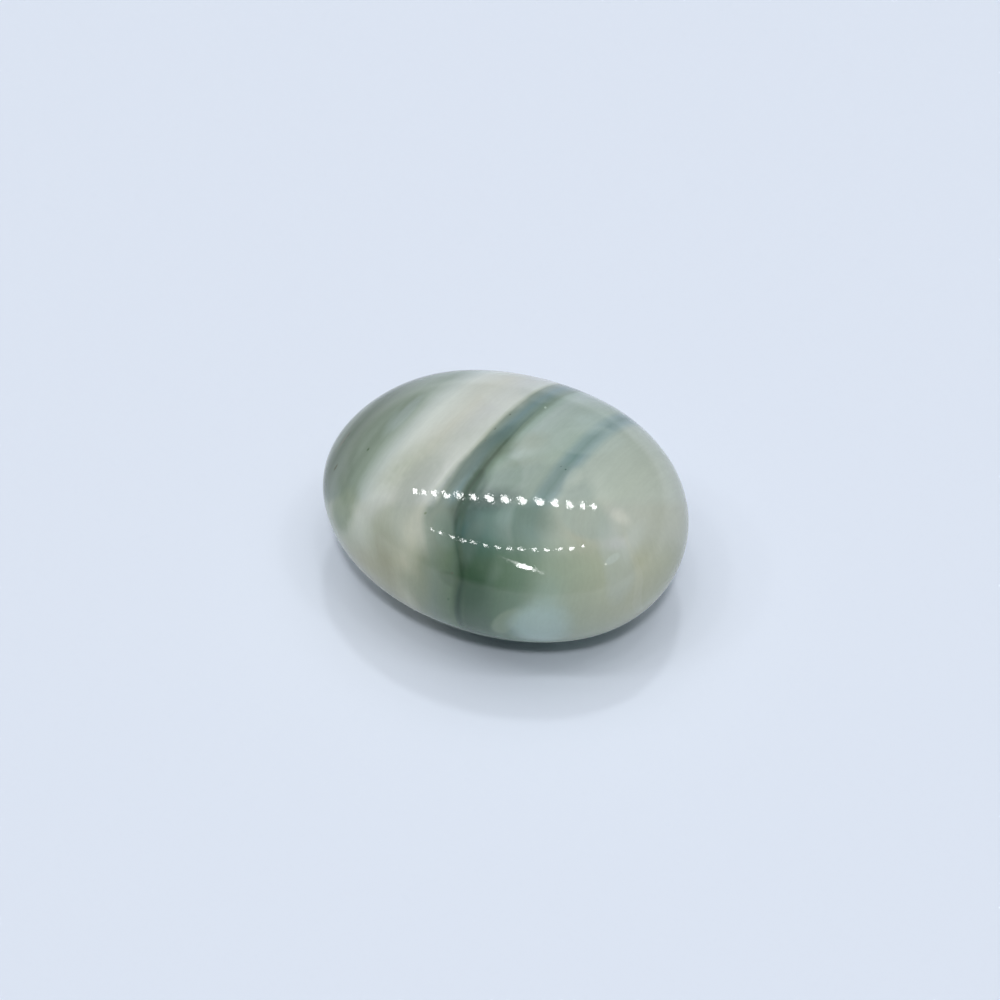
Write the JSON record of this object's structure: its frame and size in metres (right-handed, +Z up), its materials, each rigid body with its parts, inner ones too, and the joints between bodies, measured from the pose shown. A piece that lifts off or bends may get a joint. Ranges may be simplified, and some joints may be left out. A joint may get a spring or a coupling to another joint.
{
  "type": "agate palm stone",
  "caption": "Oval pebble of banded agate, ground and polished to fill a palm, resting on a small flat spot.",
  "frame": {"origin": "on the flat spot that the stone rests on, at the middle of its length and width", "axes": "+X along the stone towards its blunt end, +Y across it, +Z up through its thickness"},
  "size_m": [0.052, 0.0406, 0.028],
  "materials": {
    "polished_agate": "polished banded agate: cream, milky, sage and dark green bands under a glassy skin"
  },
  "bodies": {
    "root": {"stone": "polished_agate"}
  },
  "joints": []
}
